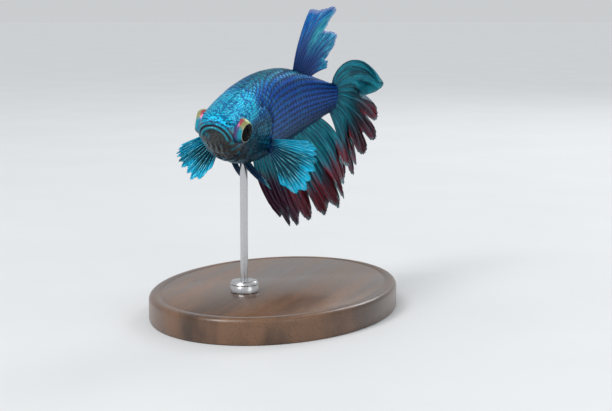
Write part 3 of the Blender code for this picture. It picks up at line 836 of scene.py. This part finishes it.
class Wire:
    """What a material's node gives. Arithmetic on it adds Math nodes."""

    def __init__(self, finish, socket):
        self.finish, self.socket = finish, socket

    def __add__(self, other):
        return self.finish.math("ADD", self, other)

    def __sub__(self, other):
        return self.finish.math("SUBTRACT", self, other)

    def __rsub__(self, other):
        return self.finish.math("SUBTRACT", other, self)

    def __mul__(self, other):
        return self.finish.math("MULTIPLY", self, other)

    def step(self, low, high, start=0.0, end=1.0):
        """A smooth step, from start at low to end at high."""
        inputs = {"Value": self, "From Min": low, "From Max": high, "To Min": start, "To Max": end}
        return self.finish.node("ShaderNodeMapRange", inputs, interpolation_type="SMOOTHSTEP")


class Finish:
    """A material, with short calls that add its nodes and lay tints over its base colour."""

    def __init__(self, name, **values):
        self.material = bpy.data.materials.new(name)
        self.material.use_nodes = True
        self.tree = self.material.node_tree
        self.shader = self.tree.nodes["Principled BSDF"]
        for key, value in values.items():
            self.put(key.replace("_", " ").title().replace("Ior", "IOR"), value)

    def join(self, socket, value):
        """Links a socket to a wire, or sets it to a number, a vector or a colour."""
        if isinstance(value, Wire):
            self.tree.links.new(value.socket, socket)
        elif socket.type == "RGBA":
            socket.default_value = (*value, 1.0)
        else:
            socket.default_value = value

    def put(self, name, value):
        self.join(self.shader.inputs[name], value)

    def node(self, kind, inputs=None, output=0, **properties):
        """Adds a node with those inputs, and gives one of its outputs."""
        made = self.tree.nodes.new(kind)
        for key, value in properties.items():
            setattr(made, key, value)
        for key, value in (inputs or {}).items():
            self.join(made.inputs[key], value)
        return Wire(self, made.outputs[output])

    def attribute(self, name):
        return self.node("ShaderNodeAttribute", output="Vector", attribute_name=name)

    def parts(self, name):
        """The three numbers of an attribute."""
        first = self.node("ShaderNodeSeparateXYZ", {0: self.attribute(name)})
        return [Wire(self, output) for output in first.socket.node.outputs]

    def where(self):
        return self.node("ShaderNodeTexCoord", output="Object")

    def math(self, operation, a, b=0.0):
        return self.node("ShaderNodeMath", {0: a, 1: b}, operation=operation)

    def mix(self, share, a, b):
        return self.node("ShaderNodeMix", {0: share, 6: a, 7: b}, 2, data_type="RGBA")

    def over(self, share, tint):
        """Lays a share of a tint over the base colour."""
        self.colour = self.mix(share, self.colour, tint)

    def noise(self, vector, scale, detail=2.0, stretch=None):
        if stretch:
            vector = self.node("ShaderNodeMapping", {"Vector": vector, "Scale": stretch})
        return self.node("ShaderNodeTexNoise", {"Vector": vector, "Scale": scale, "Detail": detail}, "Fac")

    def cells(self, vector, scale):
        return self.node("ShaderNodeTexVoronoi", {"Vector": vector, "Scale": scale}, "Distance")

    def bump(self, height, depth, strength):
        inputs = {"Height": height, "Distance": depth, "Strength": strength}
        self.put("Normal", self.node("ShaderNodeBump", inputs))

    def done(self):
        """The material, with the base colour on its shader."""
        self.put("Base Color", self.colour)
        return self.material


CYAN, SKY, TEAL = (0.004, 0.56, 0.86), (0.003, 0.24, 0.68), (0.003, 0.20, 0.28)
# ROYAL, the flank's blue, is kept darker in part as painted shade, for a flank that the light only grazes.
ROYAL, NAVY, INK = (0.001, 0.034, 0.27), (0.001, 0.014, 0.10), (0.001, 0.005, 0.024)
DEEP, GREEN, PALE = (0.001, 0.032, 0.056), (0.002, 0.11, 0.15), (0.16, 0.76, 0.88)
CLAY, SHALE, BLUSH = (0.070, 0.060, 0.052), (0.014, 0.020, 0.024), (0.13, 0.33, 0.34)
ROSE, MAROON, CRIMSON = (0.20, 0.10, 0.13), (0.10, 0.003, 0.012), (0.22, 0.004, 0.016)
PLUM, SMOKE, LILAC = (0.030, 0.006, 0.030), (0.12, 0.085, 0.105), (0.30, 0.36, 0.66)
BRASS, MINT = (0.115, 0.078, 0.034), (0.008, 0.36, 0.33)
# GAP_SHADE is a painted shade colour, for the gaps between the crown's granules and for the covered parts of
# scales.
GAP_SHADE, SHEEN = (0.001, 0.05, 0.13), (0.25, 0.60, 0.80)


def body_colour(f):
    """Lays the fish's ground colours by its markings, for skin and scales alike, with painted shade at the
    gill cover's rear edge and in the nostrils, and a dark red in the mouth's creases that is partly painted
    shade. Gives the speckle and the crown's share."""
    crown, back, chin = f.parts("marks")
    cheek, lip, mouth = f.parts("face")
    orbit, nostril_shade, bare = f.parts("rims")
    along, height, cover = f.parts("place")
    spot = f.attribute("spot")
    cloud = f.noise(spot, 7.0, 3.0)
    speck = f.noise(spot, 42.0)

    f.colour = f.mix(height.step(-0.9, -0.1), INK, NAVY)
    # The upper flank's royal blue, darkened in part as painted shade.
    f.over((height + cloud * 0.5).step(-0.1, 0.7), ROYAL)
    rear = along.step(2.6, 4.2)
    f.over(rear * 0.6, NAVY)
    f.over(back * 0.7, f.mix(along.step(1.9, 1.1), GREEN, MINT))
    shoulder = along.step(1.9, 0.9) * height.step(-0.2, 0.5)
    f.over(shoulder * speck.step(0.35, 0.6, 0.2, 0.85), (0.003, 0.13, 0.48))
    f.over(cheek * 0.9, f.mix(speck.step(0.42, 0.66), DEEP, (0.003, 0.13, 0.19)))
    crown_share = (crown + (cloud - 0.5) * 0.9).step(0.15, 0.75)
    f.over(crown_share, f.mix(speck.step(0.30, 0.50), SKY, CYAN))
    clay = f.mix(speck.step(0.42, 0.60), CLAY, SHALE)
    clay = f.mix(cloud.step(0.52, 0.64) * 0.7, clay, TEAL)
    clay = f.mix(cloud.step(0.42, 0.34) * speck.step(0.54, 0.66, 0.0, 0.7), clay, BRASS)
    f.over(chin * 0.92, clay)
    f.over(bare * speck.step(0.3, 0.6, 0.35, 0.85), BLUSH)
    f.over(lip * speck.step(0.3, 0.58, 0.35, 1.0), (0.006, 0.30, 0.40))
    f.over(orbit * 0.75, f.mix(cloud, ROSE, LILAC))
    # Dark red in the mouth's slit and the fold above the upper lip, partly painted shade in these creases.
    f.over(mouth * 0.95, (0.15, 0.004, 0.018))
    # Painted shade at the gill cover's rear edge.
    f.over(cover * 0.9, INK)
    # Painted shade in the nostrils.
    f.over(nostril_shade * 0.95, INK)
    return speck, crown_share


def skin_finish():
    f = Finish("skin", metallic=0.3, specular_ior_level=0.35, coat_weight=0.2, coat_roughness=0.12)
    f.put("Specular Tint", SHEEN)
    speck, crown = body_colour(f)
    spot = f.attribute("spot")
    # Painted shade: the gaps between the crown's granules are darkened.
    gaps = f.cells(spot, 27.0).step(0.42, 0.62, 0.0, 0.8)
    f.over(gaps * crown, GAP_SHADE)
    f.put("Roughness", speck.step(0.3, 0.7, 0.26, 0.50))
    f.bump(f.cells(spot, 52.0) + speck * 0.6, 0.00005, 0.9)
    return f.done()


def scale_finish():
    """Over the ground colour: painted shade along the scales' sides between the rows and at their covered
    roots, a lighter free edge that is partly the scales' own teal and partly painted glints, and paler and
    duller scales.
    """
    f = Finish("scales", metallic=0.6, specular_ior_level=0.3, coat_weight=0.08, coat_roughness=0.08)
    f.put("Specular Tint", SHEEN)
    crown = body_colour(f)[1]
    cheek = f.parts("face")[0]
    along, across, tone = f.parts("scale")
    place_along, height = f.parts("place")[:2]
    trunk = place_along.step(1.0, 1.6)
    wide = f.math("ABSOLUTE", across)
    between = wide.step(0.22, 0.62)
    # Painted shade: darker along each scale's sides, between the rows, and over its root, under the free
    # edge of the scale before it.
    shade = f.math("MAXIMUM", between * 0.8, along.step(0.5, 0.38, 0.0, 0.5))
    dark = shade * crown.step(0.0, 1.0, 1.0, 0.9)
    f.over(dark, f.mix(crown, f.mix(cheek, INK, (0.001, 0.016, 0.03)), GAP_SHADE))
    dull = f.mix(cheek, (0.001, 0.11, 0.32), (0.001, 0.020, 0.040))
    dull_share = f.math("MAXIMUM", crown, cheek) * tone.step(0.42, 0.1, 0.0, 0.85)
    f.over(dull_share, dull)
    edge = along.step(0.62, 0.9) * wide.step(0.75, 0.25)
    streak = f.noise(f.attribute("scale"), 7.0, stretch=(0.5, 1.6, 3.0))
    # The free edges' flecks are partly the scales' own lighter teal and partly painted glints, stronger on
    # bright scales and fading towards the belly.
    edge_glint = edge * streak.step(0.38, 0.6, 0.25, 1.0)
    bright = tone.step(0.25, 0.85, 0.15, 1.0)
    bright = bright * f.math("MAXIMUM", trunk, crown.step(0.0, 0.6, 0.5, 1.0))
    upper = height.step(-0.75, 0.0, 0.15, 1.0)
    row = wide.step(0.34, 0.08) * along.step(0.25, 0.45)
    row = row * trunk * height.step(-0.6, 0.1)
    back = f.parts("marks")[1]
    f.over(row * 0.55, f.mix(back, (0.003, 0.10, 0.50), (0.003, 0.17, 0.24)))
    flank = f.mix(place_along.step(2.2, 3.2), (0.004, 0.14, 0.30), (0.003, 0.09, 0.32))
    flank = f.mix(back, flank, (0.005, 0.24, 0.26))
    edge_colour = f.mix(trunk, f.mix(cheek, PALE, (0.12, 0.46, 0.54)), flank)
    f.over(edge_glint * bright * upper, edge_colour)
    f.put("Roughness", streak.step(0.3, 0.7, 0.20, 0.40))
    ribs = f.noise(f.attribute("scale"), 16.0, 1.0, stretch=(0.25, 2.0, 1.0))
    f.bump(ribs, 0.00003, 0.7)
    return f.done()


def fin_finish(name, shades):
    """shades(f, share, along, ridge, streak) lays the fin's colours."""
    f = Finish(name, metallic=0.4, specular_tint=(0.35, 0.65, 0.85), coat_weight=0.1, coat_roughness=0.15)
    sheet = f.attribute("fin")
    share, along, ridge = f.parts("fin")
    streak = f.noise(sheet, 1.0, 3.0, stretch=(90.0, 5.0, 0.0))
    shades(f, share, along, ridge, streak)
    f.put("Roughness", ridge.step(0.1, 0.9, 0.42, 0.24))
    wave = {"Vector": sheet, "Scale": 16.0, "Distortion": 1.0}
    joints = f.node("ShaderNodeTexWave", wave, "Fac", wave_type="BANDS", bands_direction="Y")
    f.bump(joints * ridge + streak * 0.8, 0.00005, 0.7)
    return f.done()


def dorsal_shades(f, share, along, ridge, streak):
    """Azure, darkest at the root and between the rays, with a pale fold down its middle and a pale edge."""
    f.colour = f.mix(along.step(0.05, 0.55), NAVY, ROYAL)
    azure = f.mix(share.step(0.15, 0.40), (0.002, 0.19, 0.60), (0.003, 0.30, 0.50))
    f.over(along.step(0.25, 0.7) * streak.step(0.34, 0.56, 0.25, 1.0), azure)
    dark = ridge.step(0.4, 0.05) * along.step(0.95, 0.7, 0.2, 0.8)
    f.over(dark, (0.001, 0.035, 0.16))
    fold = share.step(0.22, 0.3) * share.step(0.46, 0.38)
    fold = fold * along.step(0.3, 0.65)
    f.over(fold * streak.step(0.35, 0.6, 0.2, 0.9), (0.03, 0.42, 0.48))
    pale = streak.step(0.56, 0.68) * along.step(0.35, 0.7)
    f.over(pale * ridge.step(0.2, 0.8), (0.16, 0.60, 0.82))
    edge = along.step(0.91, 0.985) * streak.step(0.25, 0.55, 0.35, 0.9)
    f.over(edge, LILAC)


def caudal_shades(f, share, along, ridge, streak):
    """Teal, then smoke and crimson towards the tips of all but the upper lobe."""
    f.colour = f.mix(along.step(0.0, 0.25), NAVY, TEAL)
    f.over(ridge.step(0.5, 0.1) * 0.8, DEEP)
    f.over(streak.step(0.5, 0.66) * 0.6, (0.006, 0.36, 0.42))
    shift = along + (streak - 0.5) * 0.4
    lower = share.step(0.19, 0.26)
    smoke = shift.step(0.38, 0.74) * lower
    f.over(smoke * 0.9, f.mix(ridge, (0.030, 0.018, 0.026), SMOKE))
    red = shift.step(0.68, 0.98) * lower
    f.over(red * streak.step(0.42, 0.58, 0.2, 0.85), CRIMSON)
    edge = along.step(0.94, 0.99) * ridge.step(0.3, 0.8, 0.1, 0.7)
    f.over(edge, (0.10, 0.30, 0.32))


def anal_shades(f, share, along, ridge, streak):
    """Teal near the body, crimson further out and plum in front, with smoke-coloured rays and pale tips."""
    f.colour = f.mix(along.step(0.0, 0.2), NAVY, TEAL)
    f.over(ridge.step(0.5, 0.1) * 0.75, DEEP)
    f.over(streak.step(0.5, 0.66) * 0.6, (0.006, 0.40, 0.44))
    shift = along + (streak - 0.5) * 0.45
    red = (shift + share.step(0.5, 0.0, 0.0, 0.3)).step(0.52, 0.84)
    f.over(red, f.mix(streak.step(0.38, 0.60), MAROON, CRIMSON))
    front = share.step(0.42, 0.2) * along.step(0.2, 0.5)
    f.over(front * 0.85, PLUM)
    smoke = shift.step(0.62, 0.9) * ridge.step(0.45, 0.85)
    f.over(smoke * 0.65, SMOKE)
    edge = along.step(0.92, 0.985) * ridge.step(0.3, 0.85, 0.1, 0.9)
    f.over(edge, f.mix(share.step(0.3, 0.7), (0.16, 0.22, 0.28), (0.22, 0.52, 0.54)))


def pectoral_shades(f, share, along, ridge, streak):
    """Dark teal between fine pale rays, with a bright upper band and bright lower tips."""
    f.colour = f.mix(along.step(0.0, 0.3), NAVY, DEEP)
    rays = ridge.step(0.3, 0.75) * streak.step(0.34, 0.6, 0.2, 0.9)
    f.over(rays * along.step(0.02, 0.14), (0.005, 0.27, 0.38))
    patchy = f.noise(f.attribute("fin"), 5.0).step(0.40, 0.60, 0.0, 0.12)
    upper = (share - patchy).step(0.46, 0.24) * along.step(0.02, 0.22)
    tips = (along - patchy).step(0.58, 0.8) * share.step(0.4, 0.62)
    glow = f.math("MAXIMUM", upper, tips) * ridge.step(0.0, 0.55, 0.3, 1.0)
    f.over(glow * 0.95, (0.005, 0.56, 0.88))
    glint = streak.step(0.5, 0.64) * ridge.step(0.3, 0.8)
    f.over(glint * 0.75, (0.30, 0.78, 0.88))


def pelvic_shades(f, share, along, ridge, streak):
    f.colour = f.mix(along.step(0.1, 0.8), INK, NAVY)
    # Painted glints: teal streaks along the rays and a pale tip.
    f.over(ridge.step(0.4, 0.9) * streak.step(0.4, 0.6), TEAL)
    f.over(along.step(0.90, 0.98, 0.0, 0.8), PALE)


def eye_finish():
    """A black pupil in a thin cream ring, which fades at the rear. The iris is teal in front, gold-green on
    top and slate underneath, the slate being painted shade under the pupil. Towards the lids its front turns
    violet, and it is crimson above that."""
    f = Finish("eye", specular_ior_level=0.05, coat_roughness=0.08)
    own = f.attribute("eye")
    forward, up, out = f.parts("eye")
    radius = f.math("SQRT", forward * forward + up * up)
    fibre = f.noise(own, 5.0, 4.0)
    turn = f.math("ARCTAN2", up, forward) + (fibre - 0.5) * 1.0
    outer = (out + fibre * 0.4).step(0.62, 0.92)
    front = f.mix(outer, (0.05, 0.10, 0.30), (0.008, 0.30, 0.40))
    above = f.mix(outer, (0.42, 0.012, 0.035), (0.34, 0.30, 0.09))
    f.colour = f.mix(turn.step(0.32, 0.72), front, above)
    f.over(turn.step(1.25, 1.65), (0.30, 0.36, 0.10))
    f.over(turn.step(1.9, 2.5), (0.01, 0.12, 0.18))
    # Painted shade: the iris is darkened to slate underneath, under the pupil.
    f.over(turn.step(-0.35, -0.95), (0.008, 0.022, 0.070))
    lines = f.noise(own, 14.0, 3.0)
    f.over(lines.step(0.50, 0.66, 0.0, 0.55), (0.03, 0.40, 0.48))
    violet = out.step(0.5, 0.15) * turn.step(-0.7, 0.0)
    violet = violet * turn.step(1.0, 0.6)
    f.over(violet * 0.85, (0.40, 0.24, 0.60))
    ring = radius.step(PUPIL + 0.11, PUPIL + 0.05) * out.step(0.5, 0.6)
    ring = ring * forward.step(-0.9, 0.3, 0.15, 1.0)
    f.over(ring * fibre.step(0.3, 0.5, 0.5, 1.0), (0.52, 0.50, 0.34))
    hole = radius.step(PUPIL + 0.01, PUPIL - 0.02) * out.step(0.0, 0.1)
    f.over(hole, (0.0012, 0.0008, 0.0010))
    iris = 1.0 - hole
    f.put("Coat Weight", iris * 0.25 + 0.07)
    f.put("Metallic", iris * 0.4)
    f.put("Roughness", 0.80 - iris * lines.step(0.3, 0.7, 0.55, 0.4))
    f.bump(lines * iris, 0.00003, 0.5)
    return f.done()


def cornea_finish():
    """Clear, with the gloss of a wet surface."""
    f = Finish("cornea", roughness=0.04, metallic=1.0, base_color=(1.0, 1.0, 1.0))
    gloss = f.math("POWER", f.node("ShaderNodeLayerWeight", output="Facing"), 5.0) * 0.10
    clear = f.node("ShaderNodeBsdfTransparent")
    both = f.node("ShaderNodeMixShader", {0: gloss, 1: clear, 2: Wire(f, f.shader.outputs[0])})
    f.join(f.tree.nodes["Material Output"].inputs["Surface"], both)
    return f.material


def walnut_finish():
    f = Finish("walnut_oiled", coat_weight=0.35, coat_roughness=0.2)
    figure = f.noise(f.where(), 1.0, 4.0, stretch=(260.0, 22.0, 120.0))
    pores = f.noise(f.where(), 1.0, stretch=(4200.0, 330.0, 4200.0))
    f.colour = f.mix(figure.step(0.30, 0.70), (0.050, 0.022, 0.010), (0.165, 0.080, 0.038))
    f.over(pores.step(0.56, 0.70, 0.0, 0.45), (0.020, 0.010, 0.005))
    f.put("Roughness", figure.step(0.3, 0.7, 0.30, 0.46))
    f.bump(figure - pores, 0.00006, 0.5)
    return f.done()


def steel_finish():
    f = Finish("steel_brushed", metallic=1.0)
    brushed = f.noise(f.where(), 1.0, 3.0, stretch=(9000.0, 9000.0, 350.0))
    f.colour = f.mix(brushed, (0.42, 0.42, 0.43), (0.72, 0.72, 0.73))
    f.put("Roughness", brushed.step(0.3, 0.7, 0.20, 0.38))
    f.bump(brushed, 0.00001, 0.4)
    return f.done()


# ---------------- stand


def turned_stand(name, node, slot, foot, half, profile, finish, around):
    """A closed shape turned round the vertical through its foot, from (inset of the half widths, height)."""
    turn = np.arange(around) * 2 * pi / around
    inset, height = np.array(profile).T[..., None]
    rings = xyz((half[0] - inset) * np.cos(turn), (half[1] - inset) * np.sin(turn), height)
    ends = [(0, 0, profile[0][1]), (0, 0, profile[-1][1])]
    points = np.concatenate([rings.reshape(-1, 3), ends]) + np.array(foot)
    made = new_piece(name, points, closed_faces(len(profile), around), {}, finish)
    made.data.set_sharp_from_angle(angle=radians(50))
    place(made, slot, node)


def footprint(node):
    """The foot of a node's box, its half widths, and its lowest and highest points."""
    low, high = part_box(node)
    middle = ((low.x + high.x) / 2, (low.y + high.y) / 2, 0.0)
    return middle, ((high.x - low.x) / 2, (high.y - low.y) / 2), low.z, high.z


def build_stand(walnut, steel):
    """A base with a chamfered foot, a rounded top edge and a groove, a rod, and a waisted ferrule."""
    foot, half, low, high = footprint("stand_base")
    profile = [(0.4 * MM, low), (0.1 * MM, low + 0.1 * MM), (0.0, low + 0.4 * MM), (0.0, high - BASE_ROUND)]
    rounded = np.linspace(0, pi / 2, 8)[1:]
    profile += [(BASE_ROUND * (1 - cos(t)), high - BASE_ROUND * (1 - sin(t))) for t in rounded]
    groove = high - 0.12 * MM
    profile += [(1.6 * MM, high), (1.75 * MM, groove), (2.0 * MM, groove), (2.15 * MM, high)]
    turned_stand("stand_base_turned", "stand_base", "walnut", foot, half, profile, walnut, 160)

    _, rod, rod_low, rod_high = footprint("stand_rod")
    foot, half, low, high = footprint("stand_ferrule")
    profile = [(0.15 * MM, low - 0.3 * MM), (0.0, low - 0.2 * MM)]
    for inset, share in ((0.0, 0.45), (0.12, 0.52), (0.12, 0.58), (0.0, 0.65)):
        profile.append((inset * MM, low + share * (high - low)))
    profile += [(0.25 * MM, high - 0.06 * MM), (0.45 * MM, high), (half[0] - rod[0] - 0.1 * MM, high)]
    half = (half[0], half[0])
    turned_stand("stand_ferrule_turned", "stand_ferrule", "steel", foot, half, profile, steel, 96)

    profile = [(0.0, height) for height in np.linspace(rod_low, rod_high, 24)]
    turned_stand("stand_rod_drawn", "stand_rod", "steel", foot, (rod[0], rod[0]), profile, steel, 48)


# ---------------- studio


def build_floor():
    mesh = bpy.data.meshes.new("floor")
    bm = bmesh.new()
    bmesh.ops.create_circle(bm, cap_ends=True, segments=96, radius=FLOOR_RADIUS)
    bm.to_mesh(mesh)
    bm.free()
    floor = bpy.data.objects.new("floor", mesh)
    bpy.context.scene.collection.objects.link(floor)
    f = Finish("floor", roughness=0.6)
    f.colour = f.mix(f.noise(f.where(), 30.0, 3.0), (0.66, 0.67, 0.68), (0.72, 0.73, 0.74))
    mesh.materials.append(f.done())


def add_light(name, kind, stands, energy):
    light = bpy.data.lights.new(name, kind)
    light.energy = energy
    made = bpy.data.objects.new(name, light)
    made.location = stands
    made.rotation_euler = (Vector(LIT) - Vector(stands)).to_track_quat("-Z", "Y").to_euler()
    bpy.context.scene.collection.objects.link(made)
    return light


def build_studio():
    add_light("overhead", "SUN", SUN_FROM, 1.06).angle = radians(35)
    for name, stands, size, energy in LAMPS:
        light = add_light(name, "AREA", stands, energy)
        light.shape = "DISK"
        light.size = size
    world = bpy.data.worlds.new("studio")
    bpy.context.scene.world = world
    world.use_nodes = True
    ground = world.node_tree.nodes["Background"]
    ground.inputs["Color"].default_value = (0.80, 0.82, 0.84, 1)
    ground.inputs["Strength"].default_value = 0.74
    bpy.context.scene.view_settings.view_transform = "Standard"


def build_camera():
    right = np.array((cos(AZIMUTH), sin(AZIMUTH), 0.0))
    level = np.array((-sin(AZIMUTH), cos(AZIMUTH), 0.0))
    forward = level * cos(ELEVATION) - np.array((0, 0, sin(ELEVATION)))
    up = np.cross(right, forward)
    nose = to_row(np.zeros(3))
    across, ahead, above = (part * MM for part in NOSE_IN_VIEW)
    stands = nose - right * across - forward * ahead - up * above
    camera = bpy.data.objects.new("camera", bpy.data.cameras.new("camera"))
    camera.data.lens = LENS
    camera.data.sensor_width = 36.0
    camera.data.clip_start = 0.005
    turn = Matrix((tuple(right), tuple(up), tuple(-forward))).transposed()
    camera.matrix_world = Matrix.Translation(stands) @ turn.to_4x4()
    bpy.context.scene.collection.objects.link(camera)
    bpy.context.scene.camera = camera


# ---------------- the model


def build_fish():
    flesh = ["head", "lower_jaw", "gill_cover_left", "gill_cover_right"]
    flesh += ["trunk_front", "trunk_rear", "tail_stalk"]
    place(build_skin(skin_finish()), "scaly_skin", *flesh)
    for piece in build_coat(scale_finish()):
        place(piece, "scaly_skin")

    for name, fin, move, shades, way in (
        ("dorsal_fin", DORSAL, dorsal_wave, dorsal_shades, DORSAL_RAYS),
        ("anal_fin", ANAL, anal_wave, anal_shades, ANAL_RAYS),
        ("caudal_fin", CAUDAL, caudal_wave, caudal_shades, CAUDAL_RAYS),
    ):
        place(build_fin(name + "_rays", fin, move, fin_finish(name, shades), **way), name, name)
    pectoral = fin_finish("pectoral_fin", pectoral_shades)
    pelvic = fin_finish("pelvic_fin", pelvic_shades)
    eye, cornea = eye_finish(), cornea_finish()
    for side, word in SIDES.items():
        for name, fin, move, finish, way in (
            ("pectoral_fin", PECTORAL, pectoral_spread(side), pectoral, PECTORAL_RAYS),
            ("pelvic_fin", PELVIC, pelvic_splay(side), pelvic, PELVIC_RAYS),
        ):
            place(build_fin(f"{name}_{word}_rays", fin, move, finish, **way), name, f"{name}_{word}")
        place(turned_piece(f"eye_{word}_ball", side, eye_profile(), eye), "eye", f"eye_{word}")
        place(turned_piece(f"eye_{word}_cornea", side, cornea_profile(), cornea), "eye")


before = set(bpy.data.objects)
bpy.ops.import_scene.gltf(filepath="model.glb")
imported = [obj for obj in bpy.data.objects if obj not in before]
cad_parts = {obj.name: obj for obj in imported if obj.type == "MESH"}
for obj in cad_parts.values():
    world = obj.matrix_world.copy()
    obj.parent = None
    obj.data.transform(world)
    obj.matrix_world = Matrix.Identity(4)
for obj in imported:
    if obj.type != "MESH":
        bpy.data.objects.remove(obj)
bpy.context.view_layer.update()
build_camera()
build_fish()
build_stand(walnut_finish(), steel_finish())
build_floor()
build_studio()
